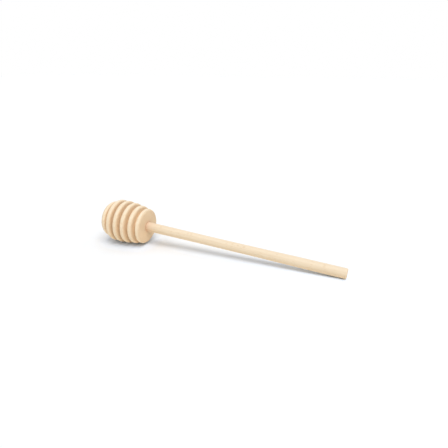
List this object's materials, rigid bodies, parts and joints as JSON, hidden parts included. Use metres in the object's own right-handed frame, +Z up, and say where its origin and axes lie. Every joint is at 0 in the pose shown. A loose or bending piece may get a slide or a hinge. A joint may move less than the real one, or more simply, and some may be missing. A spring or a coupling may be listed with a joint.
{
  "type": "honey dipper",
  "caption": "Turned wooden honey dipper: a barrel-shaped head with deep ring grooves and a slim round handle, lying as it rests.",
  "frame": {"origin": "on the table under the middle of the dipper's bounding box", "axes": "+X from the head to the handle's end along the table, +Z up; the dipper's axis lies in the XZ plane and slopes down to the handle's end"},
  "size_m": [0.1606, 0.0278, 0.0281],
  "materials": {
    "head_wood": "bare turned wood, finely sanded, no varnish",
    "handle_wood": "bare turned wood, finely sanded, no varnish"
  },
  "bodies": {
    "root": {"head": "head_wood", "handle": "handle_wood"}
  },
  "joints": []
}
